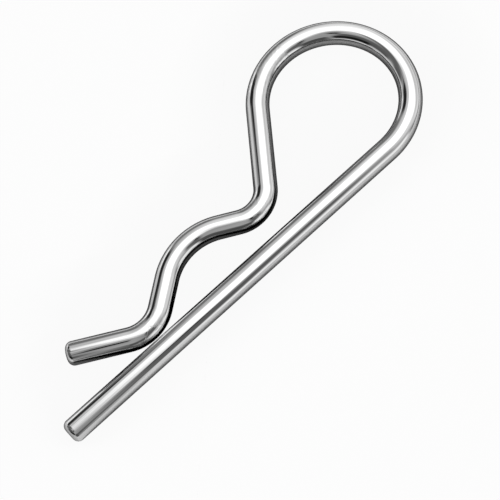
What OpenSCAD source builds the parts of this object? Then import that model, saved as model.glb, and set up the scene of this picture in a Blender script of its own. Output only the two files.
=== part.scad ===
// Hitch R clip pin: one length of round spring wire bent in a single plane.
// A straight leg goes through the cross hole of a shaft. The sprung limb comes back from a
// round loop, dips to a neck, arches over the shaft, dips to a toe and ends in a flared tip.
// The pin lies flat on the ground plane, leg along X, with its tips at -X and its loop at +X.

/* [Wire] */
// Diameter of the spring wire
wire_d = 4; // [2:0.1:6]
// Rounding of the rim at both cut ends
end_round = 1.1; // [0.2:0.1:2.9]

/* [Straight leg] */
// Length of the straight leg, from its cut end to the start of the loop
leg_len = 68.7; // [45:0.1:140]

/* [Loop] */
// Inside diameter of the spring loop
loop_d = 21.5; // [12:0.1:40]
// Straight run from the loop down to the neck
loop_run = 14.1; // [8:0.1:30]

/* [Neck] */
// Inside radius of the neck bend
neck_r = 3.6; // [1:0.1:8]
// Clear gap between the neck and the leg
neck_gap = 3; // [0.5:0.1:5]
// Straight run from the neck up to the arch
neck_run = 3.5; // [1:0.1:12]

/* [Arch] */
// Diameter of the shaft that the arch closes on, centred on the leg
shaft_d = 17.7; // [12:0.1:30]
// Straight run from the arch down to the toe
arch_run = 5.1; // [2:0.1:15]

/* [Toe] */
// Inside radius of the toe bend
toe_r = 4.4; // [1:0.1:10]
// Clear gap between the toe and the leg
toe_gap = 0.35; // [0.1:0.05:3]
// Length of the flared tip
tip_len = 10.2; // [4:0.1:25]
// Angle at which the flared tip leaves the leg
tip_angle = 30; // [5:1:60]

/* [Hidden] */
$fn = 96;
wire_r = wire_d / 2;
// Straight runs are this much slimmer than the bends and reach this far into them, so that the
// wire joins up as one solid
lap = 0.01;
reach_in = 0.05;
run_r = wire_r - lap;
// The rim keeps a flat of at least a tenth of the wire's radius
rim_r = min(end_round, 0.9 * run_r);

// Radii of the four bends, on the wire's centre line
loop_bend = loop_d / 2 + wire_r;
neck_bend = neck_r + wire_r;
arch_bend = shaft_d / 2 + wire_r;
toe_bend = toe_r + wire_r;

// How far each bend's centre stands off the leg
loop_y = loop_bend;
neck_y = wire_d + neck_gap + neck_bend;
arch_y = 0;
toe_y = wire_d + toe_gap + toe_bend;

// Distance along the leg between the centres of two opposite bends joined by a tangent run
function pitch(run, reach, rise) = sqrt(run * run + reach * reach - rise * rise);

loop_x = 0;
neck_x = loop_x - pitch(loop_run, loop_bend + neck_bend, neck_y - loop_y);
arch_x = neck_x - pitch(neck_run, neck_bend + arch_bend, arch_y - neck_y);
toe_x = arch_x - pitch(arch_run, arch_bend + toe_bend, toe_y - arch_y);

// Heading of the tangent run between two bends: the way from centre to centre, turned by side
// (+1 out of a left-hand bend, -1 out of a right-hand bend), from 0 to 360 degrees
function heading(dx, dy, run, reach, side) = (atan2(dy, dx) + side * atan2(reach, run) + 360) % 360;

to_neck = heading(neck_x - loop_x, neck_y - loop_y, loop_run, loop_bend + neck_bend, 1);
to_arch = heading(arch_x - neck_x, arch_y - neck_y, neck_run, neck_bend + arch_bend, -1);
to_toe = heading(toe_x - arch_x, toe_y - arch_y, arch_run, arch_bend + toe_bend, 1);
to_tip = 180 - tip_angle;

// Point on a bend where the wire has a given heading; side is +1 on a left-hand bend
function on_bend(x, y, r, side, h) = [x + side * r * sin(h), y - side * r * cos(h)];

loop_end = on_bend(loop_x, loop_y, loop_bend, 1, to_neck);
neck_end = on_bend(neck_x, neck_y, neck_bend, -1, to_arch);
arch_end = on_bend(arch_x, arch_y, arch_bend, 1, to_toe);
tip_start = on_bend(toe_x, toe_y, toe_bend, -1, to_tip);
tip_end = tip_start + tip_len * [cos(to_tip), sin(to_tip)];

// Box of the bent wire in plan, so that the pin can be centred on the origin
min_x = min(-leg_len, tip_end.x - run_r * sin(tip_angle), toe_x - toe_bend - wire_r);
max_x = loop_x + loop_bend + wire_r;
min_y = -wire_r;
max_y = max(loop_y + loop_bend, arch_y + arch_bend, tip_end.y) + wire_r;

// Straight round wire along Z, reaching into a bend at both ends
module rod(len) {
    translate([0, 0, -reach_in])
        cylinder(r = run_r, h = len + 2 * reach_in);
}

// The same, cut square at its far end with a rounded rim
module cut_rod(len) {
    rotate_extrude()
        union() {
            translate([0, -reach_in])
                square([run_r, len + reach_in - rim_r]);
            square([run_r - rim_r, len]);
            translate([run_r - rim_r, len - rim_r])
                intersection() {
                    circle(rim_r);
                    square(rim_r);
                }
        }
}

// Lays a rod down, from a point and at a heading
module lay(from, h) {
    translate([from.x, from.y, 0])
        rotate([0, 90, h])
            children();
}

// Bend about its centre, from one heading to the next; side is +1 to the left
module bend(x, y, r, side, from_h, to_h) {
    first = side > 0 ? from_h - 90 : to_h + 90;
    translate([x, y, 0])
        rotate([0, 0, first])
            rotate_extrude(angle = side * (to_h - from_h))
                translate([r, 0])
                    rotate(-90) // the seam lies underneath, as it does on the straight runs
                        circle(wire_r);
}

module wire() {
    color("silver")
        translate([-(min_x + max_x) / 2, -(min_y + max_y) / 2, wire_r])
            union() {
                lay([0, 0], 180) cut_rod(leg_len);
                bend(loop_x, loop_y, loop_bend, 1, 0, to_neck);
                lay(loop_end, to_neck) rod(loop_run);
                bend(neck_x, neck_y, neck_bend, -1, to_neck, to_arch);
                lay(neck_end, to_arch) rod(neck_run);
                bend(arch_x, arch_y, arch_bend, 1, to_arch, to_toe);
                lay(arch_end, to_toe) rod(arch_run);
                bend(toe_x, toe_y, toe_bend, -1, to_toe, to_tip);
                lay(tip_start, to_tip) cut_rod(tip_len);
            }
}

wire();
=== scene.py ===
from math import atan2, ceil, cos, degrees, pi, radians, sin, sqrt

import bpy
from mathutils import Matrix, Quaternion, Vector


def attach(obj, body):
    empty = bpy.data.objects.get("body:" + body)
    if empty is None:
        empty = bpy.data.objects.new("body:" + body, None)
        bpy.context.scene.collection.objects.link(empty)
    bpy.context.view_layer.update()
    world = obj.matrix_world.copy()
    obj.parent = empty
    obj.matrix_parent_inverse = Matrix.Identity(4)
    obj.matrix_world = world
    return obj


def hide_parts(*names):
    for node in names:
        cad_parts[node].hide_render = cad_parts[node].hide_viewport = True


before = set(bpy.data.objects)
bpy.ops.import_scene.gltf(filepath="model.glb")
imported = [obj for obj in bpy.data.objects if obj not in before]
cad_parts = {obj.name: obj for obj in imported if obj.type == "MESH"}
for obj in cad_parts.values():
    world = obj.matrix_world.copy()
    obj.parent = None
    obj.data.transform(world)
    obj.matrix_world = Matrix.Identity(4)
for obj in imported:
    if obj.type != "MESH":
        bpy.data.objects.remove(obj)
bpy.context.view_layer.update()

MM = 0.001

# ---------------------------------------------------------------- the bent wire, in metres

WIRE_R = 2.0 * MM
RIM_R = 1.1 * MM           # rounding of the rim at both cut ends

LEG_LEN = 68.7 * MM
LOOP_D = 21.5 * MM         # inside the spring loop
LOOP_RUN = 14.1 * MM
NECK_R = 3.6 * MM          # inside the neck bend
NECK_GAP = 3.0 * MM        # clear gap between neck and leg
NECK_RUN = 3.5 * MM
SHAFT_D = 17.7 * MM        # the shaft that the arch closes on
ARCH_RUN = 5.1 * MM
TOE_R = 4.4 * MM           # inside the toe bend
TOE_GAP = 0.35 * MM        # clear gap between toe and leg
TIP_LEN = 10.2 * MM
TIP_ANGLE = 30.0           # degrees at which the flared tip leaves the leg

SIDES = 64                 # flats round the wire
BEND_STEP = 1.5            # degrees of bend from one ring to the next
RIM_STEPS = 8              # rings from the flat of a cut end to the wire's side
WELD = 0.001 * MM          # points closer than this become one


def pitch(run, reach, rise):
    """Distance along the leg between the centres of two opposite bends joined by a tangent run."""
    return sqrt(run * run + reach * reach - rise * rise)


def heading(dx, dy, run, reach, side):
    """Heading in degrees of the tangent run between two bends; side is +1 out of a left-hand bend."""
    return (degrees(atan2(dy, dx)) + side * degrees(atan2(reach, run)) + 360) % 360


def way(h):
    """Unit vector along the ground at a heading h in degrees."""
    return Vector((cos(radians(h)), sin(radians(h)), 0))


def lay_out_wire():
    """The centre line as a list of straight runs ("run", start, heading, length) and bends
    ("bend", centre, radius, side, first heading, last heading)."""
    loop_bend = LOOP_D / 2 + WIRE_R
    neck_bend = NECK_R + WIRE_R
    arch_bend = SHAFT_D / 2 + WIRE_R
    toe_bend = TOE_R + WIRE_R

    loop_y = loop_bend
    neck_y = 2 * WIRE_R + NECK_GAP + neck_bend
    toe_y = 2 * WIRE_R + TOE_GAP + toe_bend
    loop = Vector((0, loop_y, 0))
    neck = Vector((-pitch(LOOP_RUN, loop_bend + neck_bend, neck_y - loop_y), neck_y, 0))
    arch = Vector((neck.x - pitch(NECK_RUN, neck_bend + arch_bend, neck_y), 0, 0))
    toe = Vector((arch.x - pitch(ARCH_RUN, arch_bend + toe_bend, toe_y), toe_y, 0))

    to_neck = heading(*(neck - loop).xy, LOOP_RUN, loop_bend + neck_bend, 1)
    to_arch = heading(*(arch - neck).xy, NECK_RUN, neck_bend + arch_bend, -1)
    to_toe = heading(*(toe - arch).xy, ARCH_RUN, arch_bend + toe_bend, 1)
    to_tip = 180 - TIP_ANGLE

    # the pin is centred in plan and lies on the ground
    low_x, high_x = -LEG_LEN, loop_bend + WIRE_R
    low_y, high_y = -WIRE_R, loop_y + loop_bend + WIRE_R
    put = Vector((-(low_x + high_x) / 2, -(low_y + high_y) / 2, WIRE_R))

    line = []

    def run(start, h, length):
        line.append(("run", start + put, h, length))

    def bend(centre, radius, side, first, last):
        line.append(("bend", centre + put, radius, side, first, last))

    def leaves(centre, radius, side, h):
        """Where a bend has a given heading."""
        return centre - side * radius * way(h + 90)

    run(Vector((-LEG_LEN, 0, 0)), 0, LEG_LEN)
    bend(loop, loop_bend, 1, 0, to_neck)
    run(leaves(loop, loop_bend, 1, to_neck), to_neck, LOOP_RUN)
    bend(neck, neck_bend, -1, to_neck, to_arch)
    run(leaves(neck, neck_bend, -1, to_arch), to_arch, NECK_RUN)
    bend(arch, arch_bend, 1, to_arch, to_toe)
    run(leaves(arch, arch_bend, 1, to_toe), to_toe, ARCH_RUN)
    bend(toe, toe_bend, -1, to_toe, to_tip)
    run(leaves(toe, toe_bend, -1, to_tip), to_tip, TIP_LEN)
    return line


def push(step):
    """Extrudes the selected ring by a vector."""
    bpy.ops.mesh.extrude_region_move(TRANSFORM_OT_translate={"value": step})


def resize(factor, centre):
    """Scales the selected ring about a centre."""
    bpy.ops.transform.resize(value=(factor,) * 3, center_override=centre)


def cut_end_profile():
    """Rim of a cut end from its flat face outwards: (ring radius, depth behind the face)."""
    flat = WIRE_R - RIM_R
    return [(flat + RIM_R * sin(a), RIM_R * (1 - cos(a)))
            for a in (k * pi / 2 / RIM_STEPS for k in range(RIM_STEPS + 1))]


def bend_wire(line):
    """Makes the wire as it is bent: a cut end, then each run extruded and each bend spun."""
    bpy.ops.object.select_all(action="DESELECT")
    rim = cut_end_profile()
    _, start, h, _ = line[0]
    face_r = rim[0][0]
    bpy.ops.mesh.primitive_circle_add(vertices=SIDES, radius=face_r, fill_type="TRIFAN",
                                      location=start, rotation=(0, radians(90), radians(h)))
    wire = bpy.context.object
    wire.name = "polished_wire"
    bpy.ops.object.mode_set(mode="EDIT")
    bpy.ops.mesh.select_mode(type="EDGE")
    bpy.ops.mesh.select_all(action="SELECT")
    bpy.ops.mesh.region_to_loop()

    # leading rim
    for (radius, depth), (wider, deeper) in zip(rim, rim[1:]):
        push((deeper - depth) * way(h))
        resize(wider / radius, start + deeper * way(h))

    for part in line:
        if part[0] == "run":
            _, at, h, length = part
            first, last = part is line[0], part is line[-1]
            push((length - RIM_R * (first + last)) * way(h))
            end = at + length * way(h)
        else:
            _, centre, _, side, from_h, to_h = part
            turn = abs(to_h - from_h)
            bpy.ops.mesh.spin(steps=ceil(turn / BEND_STEP), angle=-side * radians(turn),
                              center=centre, axis=(0, 0, 1), dupli=False)

    # far rim, closed at a point in the middle of its face
    rim.reverse()
    for (radius, depth), (narrower, shallower) in zip(rim, rim[1:]):
        push((depth - shallower) * way(h))
        resize(narrower / radius, end - shallower * way(h))
    push((0, 0, 0))
    bpy.ops.mesh.merge(type="CENTER")

    bpy.ops.mesh.select_all(action="SELECT")
    bpy.ops.mesh.remove_doubles(threshold=WELD)
    bpy.ops.mesh.normals_make_consistent(inside=False)
    bpy.ops.object.mode_set(mode="OBJECT")
    bpy.ops.object.transform_apply(location=True, rotation=True, scale=True)
    bpy.ops.object.shade_smooth()
    return wire


def unbend(wire, line):
    """Gives each point of the wire the place it had while the wire was straight: across in X and Y,
    along in Z. What the draw die and the polishing left runs along the wire in these coordinates.
    The end of the loop, the neck and the toe are an exception, see below. Returns the wire's length."""
    place = wire.data.attributes.new("unbent", "FLOAT_VECTOR", "POINT")
    for vertex in wire.data.vertices:
        nearest, before = None, 0.0
        for part in line:
            if part[0] == "run":
                _, at, h, length = part
                along = min(max((vertex.co - at).dot(way(h)), -WIRE_R), length + WIRE_R)
                foot, across = at + min(max(along, 0), length) * way(h), way(h + 90)
            else:
                _, centre, radius, side, from_h, to_h = part
                turn = abs(to_h - from_h)
                length = radius * radians(turn)
                off = vertex.co - centre
                h = degrees(atan2(off.y, off.x)) + side * 90
                # A known fault: the angle drops to 0 past half a turn, at the end of the loop, and
                # everywhere in the right-hand bends, the neck and the toe. Points there get their place
                # straight from the bend's nearer end, or from the leg where that lies closer.
                # side * (h - from_h) % 360 would be right in every bend.
                turned = side * ((h - from_h + 180 * side) % 360 - 180 * side)
                turned = min(max(turned, 0), turn)
                along = radius * radians(turned)
                across = way(from_h + side * turned + 90)
                foot = centre - side * radius * across
            gap = (vertex.co - foot).length
            if nearest is None or gap < nearest[0]:
                nearest = gap, (across.dot(vertex.co - foot), vertex.co.z - foot.z, before + along)
            before += length
        place.data[vertex.index].vector = nearest[1]
    return before


# ---------------------------------------------------------------- shader nodes

def maths(tree, operation, first, second=0.0):
    """A maths node on two values, each an output of another node or a plain number."""
    node = tree.nodes.new("ShaderNodeMath")
    node.operation = operation
    for socket, value in zip(node.inputs, (first, second)):
        if isinstance(value, (int, float)):
            socket.default_value = value
        else:
            tree.links.new(value, socket)
    return node.outputs[0]


def spread(tree, value, span, onto):
    """Lays one span of a value onto another, and holds it at their ends."""
    node = tree.nodes.new("ShaderNodeMapRange")
    for name, number in zip(("From Min", "From Max", "To Min", "To Max"), (*span, *onto)):
        node.inputs[name].default_value = number
    tree.links.new(value, node.inputs["Value"])
    return node.outputs["Result"]


def node_group(name, inputs, output):
    """An empty node group with named inputs, each with its kind of socket, and one output number."""
    group = bpy.data.node_groups.new(name, "ShaderNodeTree")
    for label, kind in inputs.items():
        group.interface.new_socket(label, in_out="INPUT", socket_type="NodeSocket" + kind)
    group.interface.new_socket(output, in_out="OUTPUT", socket_type="NodeSocketFloat")
    return group, group.nodes.new("NodeGroupInput"), group.nodes.new("NodeGroupOutput")


# ---------------------------------------------------------------- finish

# What the draw die and the polishing left, as the spacing of the lines and their length
BROAD_LINES = 0.45 * MM, 30 * MM
FINE_LINES = 0.14 * MM, 10 * MM
LINE_DETAIL = 2
LINE_DEPTH = 0.014 * MM
FINE_DEPTH = 0.3           # depth of the fine lines beside the broad ones

# Where nearly all of each pattern's values lie
CLOUD_SPAN, FINE_SPAN = (0.3, 0.7), (0.35, 0.65)
BOTH_SPAN = 0.75, 1.25     # broad and fine lines added up

CLOUD_SCALE = 150          # patches of shade to the metre
CLOUD_DETAIL = 3
CLOUD_SHADE = 0.82, 0.87   # colour of the plating, from patch to patch
LINE_SHADE = 0.78, 1.0     # share of it that the lines leave
POLISH = 0.03, 0.07        # roughness, from line to line
CUT_FROM = 0.4             # how near a cut end its face begins to darken
CUT_STEEL_AND_SHADE = 0.35           # share of the colour left on the face: bare sheared steel, with painted shade for the floor's shadow it mirrors
CUT_ROUGHNESS = 0.12       # roughness that is added on it


def drawn_lines():
    """Node group: fine lines along the wire, as the draw die and the polishing leave them."""
    group, given, result = node_group(
        "drawn_lines", {"Place": "Vector", "Spacing": "Float", "Length": "Float"}, "Lines")
    nodes, link = group.nodes, group.links.new
    grid = nodes.new("ShaderNodeCombineXYZ")
    link(given.outputs["Spacing"], grid.inputs["X"])
    link(given.outputs["Spacing"], grid.inputs["Y"])
    link(given.outputs["Length"], grid.inputs["Z"])
    stretch = nodes.new("ShaderNodeVectorMath")
    stretch.operation = "DIVIDE"
    link(given.outputs["Place"], stretch.inputs[0])
    link(grid.outputs[0], stretch.inputs[1])
    noise = nodes.new("ShaderNodeTexNoise")
    noise.inputs["Scale"].default_value = 1
    noise.inputs["Detail"].default_value = LINE_DETAIL
    link(stretch.outputs[0], noise.inputs["Vector"])
    link(noise.outputs["Fac"], result.inputs["Lines"])
    return group


def bright_plating(wire_length):
    """Polished bright plating over drawn steel wire, duller on its two cut ends and darker there,
    partly as bare steel and partly as painted shade.
    """
    material = bpy.data.materials.new("bright_plating")
    material.use_nodes = True
    tree = material.node_tree
    nodes, link = tree.nodes, tree.links.new
    shader = nodes["Principled BSDF"]
    shader.inputs["Metallic"].default_value = 1

    unbent = nodes.new("ShaderNodeAttribute")
    unbent.attribute_name = "unbent"
    group = drawn_lines()

    def lines(spacing, length):
        node = nodes.new("ShaderNodeGroup")
        node.node_tree = group
        link(unbent.outputs["Vector"], node.inputs["Place"])
        node.inputs["Spacing"].default_value = spacing
        node.inputs["Length"].default_value = length
        return node.outputs["Lines"]

    broad, fine = lines(*BROAD_LINES), lines(*FINE_LINES)

    # how near a cut end: 1 on its face, 0 where the rim has run out
    along = nodes.new("ShaderNodeSeparateXYZ")
    link(unbent.outputs["Vector"], along.inputs[0])
    half = wire_length / 2
    from_middle = maths(tree, "ABSOLUTE", maths(tree, "SUBTRACT", along.outputs["Z"], half))
    cut = spread(tree, from_middle, (half - RIM_R, half), (0, 1))

    # the plating is a shade uneven, darker along the lines, and darkest on the sheared faces, which are
    # bare steel with painted shade
    cloud = nodes.new("ShaderNodeTexNoise")
    cloud.inputs["Scale"].default_value = CLOUD_SCALE
    cloud.inputs["Detail"].default_value = CLOUD_DETAIL
    where = nodes.new("ShaderNodeTexCoord")
    link(where.outputs["Object"], cloud.inputs["Vector"])
    shade = spread(tree, cloud.outputs["Fac"], CLOUD_SPAN, CLOUD_SHADE)
    streaks = spread(tree, maths(tree, "ADD", broad, fine), BOTH_SPAN, LINE_SHADE)
    # painted shade on the cut faces, on top of the darker bare steel
    sheared_and_shaded = spread(tree, cut, (CUT_FROM, 1), (1, CUT_STEEL_AND_SHADE))
    drawn = maths(tree, "MULTIPLY", shade, streaks)
    link(maths(tree, "MULTIPLY", drawn, sheared_and_shaded), shader.inputs["Base Color"])

    polish = spread(tree, fine, FINE_SPAN, POLISH)
    dull = maths(tree, "MULTIPLY", cut, CUT_ROUGHNESS)
    link(maths(tree, "ADD", polish, dull), shader.inputs["Roughness"])

    bump = nodes.new("ShaderNodeBump")
    bump.inputs["Distance"].default_value = LINE_DEPTH
    shallow = maths(tree, "MULTIPLY", fine, FINE_DEPTH)
    link(maths(tree, "ADD", broad, shallow), bump.inputs["Height"])
    link(bump.outputs["Normal"], shader.inputs["Normal"])
    return material


# ---------------------------------------------------------------- studio

DOME_LOW, DOME_TOP = 0.17, 0.74      # brightness of the dome at the ground and overhead

# Panels of light and dark cards that stand round the pin, each laid over the ones before it. A panel
# is given as it looks from the pin: azimuth and height of its middle, half its width, half its
# height and the softness of its edge, all in degrees, and its brightness, where 1 is white.
PANELS = {
    "right fill": (9, 37, 45, 30, 12, 0.98),
    "overhead glow": (-6, 70, 30, 52, 13, 0.63),
    "left low light": (160, 4, 65, 20, 6, 0.7),
    "back low light": (97, 0, 9, 5, 4, 1.7),
    "left grey card": (181, 38, 34, 23, 8, 0.12),
    "left black card": (200, 25, 22, 12, 4, 0.01),
    "back left grey card": (130, 44, 11, 34, 7, 0.13),
    "back black card": (102, 29, 10.5, 14.5, 4, 0.02),
    "back right grey card": (77, -7, 14, 35, 5, 0.19),
    "front left grey": (250, 57, 22, 22, 7, 0.4),
    "front left dark card": (254, 2, 24, 30, 7, 0.09),
    "front dark card": (277, 40, 10, 12, 4, 0.13),
    "front black strip": (271, 56, 3, 5, 2, 0.0),
    "low front light": (288, -5, 21, 24, 7, 1.1),
    "overhead softbox": (7, 68, 27, 28, 9, 1.5),
    "left black strip": (220, 60, 4.5, 7, 3, 0.0),
}


def towards(azimuth, height):
    """Unit vector at an azimuth and a height above the ground, both in degrees."""
    flat = way(azimuth) * cos(radians(height))
    return Vector((flat.x, flat.y, sin(radians(height))))


def studio_panel():
    """Node group: lays one soft-edged panel of light over the studio behind it."""
    group, given, result = node_group(
        "studio_panel", {"Direction": "Vector", "Facing": "Vector", "Across": "Vector", "Up": "Vector",
                         "Half Width": "Float", "Half Height": "Float", "Softness": "Float",
                         "Brightness": "Float", "Behind": "Float"}, "Light")
    nodes, link = group.nodes, group.links.new

    def along(axis):
        node = nodes.new("ShaderNodeVectorMath")
        node.operation = "DOT_PRODUCT"
        link(given.outputs["Direction"], node.inputs[0])
        link(given.outputs[axis], node.inputs[1])
        return node.outputs["Value"]

    ahead, soft = along("Facing"), given.outputs["Softness"]

    def inside(axis, size):
        """1 where a direction is within the panel along an axis, fading to 0 over its soft edge."""
        half = given.outputs[size]
        edge = nodes.new("ShaderNodeMapRange")
        edge.interpolation_type = "SMOOTHSTEP"
        off = maths(group, "ARCTAN2", maths(group, "ABSOLUTE", along(axis)), ahead)
        link(off, edge.inputs["Value"])
        link(maths(group, "ADD", half, soft), edge.inputs["From Min"])
        link(maths(group, "SUBTRACT", half, soft), edge.inputs["From Max"])
        return edge.outputs["Result"]

    mix = nodes.new("ShaderNodeMix")
    covered = maths(group, "MULTIPLY", inside("Across", "Half Width"), inside("Up", "Half Height"))
    link(covered, mix.inputs["Factor"])
    link(given.outputs["Behind"], mix.inputs["A"])
    link(given.outputs["Brightness"], mix.inputs["B"])
    link(mix.outputs["Result"], result.inputs["Light"])
    return group


def make_studio():
    """The world: a dome that brightens upwards, with the panels before it. The camera sees it white."""
    world = bpy.data.worlds.new("studio")
    bpy.context.scene.world = world
    world.use_nodes = True
    tree = world.node_tree
    nodes, link = tree.nodes, tree.links.new
    nodes.clear()
    where = nodes.new("ShaderNodeTexCoord")
    height = nodes.new("ShaderNodeSeparateXYZ")
    link(where.outputs["Generated"], height.inputs[0])
    light = spread(tree, height.outputs["Z"], (0, 1), (DOME_LOW, DOME_TOP))

    group = studio_panel()
    for name, (azimuth, high, wide, tall, soft, brightness) in PANELS.items():
        panel = nodes.new("ShaderNodeGroup")
        panel.node_tree = group
        panel.name = panel.label = name
        facing, across = towards(azimuth, high), way(azimuth + 90)
        link(where.outputs["Generated"], panel.inputs["Direction"])
        panel.inputs["Facing"].default_value = facing
        panel.inputs["Across"].default_value = across
        panel.inputs["Up"].default_value = facing.cross(across)
        panel.inputs["Half Width"].default_value = radians(wide)
        panel.inputs["Half Height"].default_value = radians(tall)
        panel.inputs["Softness"].default_value = radians(soft)
        panel.inputs["Brightness"].default_value = brightness
        link(light, panel.inputs["Behind"])
        light = panel.outputs["Light"]

    lit, white = nodes.new("ShaderNodeBackground"), nodes.new("ShaderNodeBackground")
    link(light, lit.inputs["Color"])
    white.inputs["Color"].default_value = (1, 1, 1, 1)
    path = nodes.new("ShaderNodeLightPath")
    mix = nodes.new("ShaderNodeMixShader")
    link(path.outputs["Is Camera Ray"], mix.inputs["Fac"])
    link(lit.outputs[0], mix.inputs[1])
    link(white.outputs[0], mix.inputs[2])
    out = nodes.new("ShaderNodeOutputWorld")
    link(mix.outputs[0], out.inputs["Surface"])


FLOOR_SIZE = 4.0
FLOOR_COLOUR, FLOOR_ROUGHNESS = 0.85, 0.9

# The floor's shadow is painted into its colour and its glow, from how open the sky is over each place,
# from 0 to 1.
# It is black up to one openness, has a middle tone at the next and is gone at the last.
SKY_SAMPLES = 16
SHADOW_REACH = 15 * MM
SHADOW_CAST_SIDES = 258, 195               # azimuths that the painted shadow is cast from, in degrees
SHADOW_CAST_HEIGHT = 40                    # degrees above the floor that the painted shadow is cast from
SHADOW_BLACK, SHADOW_MIDDLE, SHADOW_GONE = 0.5, 0.88, 0.98
MIDDLE_TONE = 0.25                   # 0 is black and 1 the plain floor
GAP_SKY = 0.02, 0.12                 # the narrow gap at the toe, where the camera sees the painted shadow dark

# The share of glowing white in the floor beside its lit colour, for the camera and for mirrors; mirrors
# see the painted shadow in it
CAMERA_WHITE, MIRROR_WHITE = 0.95, 0.35


def open_sky(tree, side):
    """How open the sky is over each place of the floor, as seen from one side."""
    nodes = tree.nodes
    upwards = nodes.new("ShaderNodeCombineXYZ")
    for socket, part in zip(upwards.inputs, towards(side, SHADOW_CAST_HEIGHT)):
        socket.default_value = part
    sky = nodes.new("ShaderNodeAmbientOcclusion")
    sky.samples = SKY_SAMPLES
    sky.inputs["Distance"].default_value = SHADOW_REACH
    tree.links.new(upwards.outputs[0], sky.inputs["Normal"])
    return sky.outputs["AO"]


def pale_floor():
    """The floor's material. The camera sees it white. Mirrors and glass see it pale, with a painted
    shadow where the wire meets it."""
    material = bpy.data.materials.new("pale_floor")
    material.use_nodes = True
    tree = material.node_tree
    nodes, link = tree.nodes, tree.links.new

    # the painted shadow is as deep as on the darker of the two sides
    sky = maths(tree, "MINIMUM", *(open_sky(tree, side) for side in SHADOW_CAST_SIDES))
    shade = nodes.new("ShaderNodeValToRGB")
    stops = shade.color_ramp.elements
    stops[0].position, stops[1].position = SHADOW_BLACK, SHADOW_GONE
    stops.new(SHADOW_MIDDLE).color = (MIDDLE_TONE, MIDDLE_TONE, MIDDLE_TONE, 1)
    link(sky, shade.inputs["Fac"])

    paper = nodes["Principled BSDF"]
    paper.inputs["Roughness"].default_value = FLOOR_ROUGHNESS
    paper.inputs["Specular IOR Level"].default_value = 0
    # painted shadow in the floor's lit colour
    link(maths(tree, "MULTIPLY", shade.outputs["Color"], FLOOR_COLOUR), paper.inputs["Base Color"])

    path = nodes.new("ShaderNodeLightPath")
    camera = path.outputs["Is Camera Ray"]
    glossy, through = path.outputs["Is Glossy Ray"], path.outputs["Is Transmission Ray"]
    mirrored = maths(tree, "MAXIMUM", glossy, through)

    # the glow is white for the camera and carries the painted shadow for mirrors and glass
    white = nodes.new("ShaderNodeEmission")
    seen = maths(tree, "MULTIPLY", camera, spread(tree, sky, GAP_SKY, (0, 1)))
    link(maths(tree, "MAXIMUM", shade.outputs["Color"], seen), white.inputs["Color"])

    share = maths(tree, "MAXIMUM", maths(tree, "MULTIPLY", camera, CAMERA_WHITE),
                  maths(tree, "MULTIPLY", mirrored, MIRROR_WHITE))
    mix = nodes.new("ShaderNodeMixShader")
    link(share, mix.inputs["Fac"])
    link(paper.outputs[0], mix.inputs[1])
    link(white.outputs[0], mix.inputs[2])
    link(mix.outputs[0], nodes["Material Output"].inputs["Surface"])
    return material


def lay_floor():
    """A pale floor under the pin, with a painted shadow."""
    bpy.ops.object.select_all(action="DESELECT")
    bpy.ops.mesh.primitive_plane_add(size=FLOOR_SIZE, location=(0, 0, 0))
    floor = bpy.context.object
    floor.name = "floor"
    floor.data.materials.append(pale_floor())


# ---------------------------------------------------------------- camera

AIM = Vector((-0.53, -9.14, 0)) * MM             # what the camera looks at
CAMERA_AZIMUTH, CAMERA_HEIGHT = -115.24, 68.44   # where it stands from there, in degrees
CAMERA_ROLL = -18.1                              # degrees
CAMERA_DISTANCE = 226.7 * MM
LENS = 100.3                                     # focal length in mm
NEAREST = 10 * MM                                # it sees nothing nearer than this


def set_camera():
    """The camera looks steeply down on the pin from the front, a little from its cut ends' side."""
    back = towards(CAMERA_AZIMUTH, CAMERA_HEIGHT)
    data = bpy.data.cameras.new("camera")
    data.lens = LENS
    data.clip_start = NEAREST
    camera = bpy.data.objects.new("camera", data)
    bpy.context.collection.objects.link(camera)
    camera.location = AIM + CAMERA_DISTANCE * back
    camera.rotation_mode = "QUATERNION"
    level = back.to_track_quat("Z", "Y")
    camera.rotation_quaternion = level @ Quaternion((0, 0, 1), radians(CAMERA_ROLL))
    bpy.context.scene.camera = camera


# ---------------------------------------------------------------- the whole scene

set_camera()
line = lay_out_wire()
wire = bend_wire(line)
wire_length = unbend(wire, line)
wire.data.materials.clear()
wire.data.materials.append(bright_plating(wire_length))
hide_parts("wire")
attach(wire, "root")
make_studio()
lay_floor()

bpy.context.scene.view_settings.view_transform = "Standard"
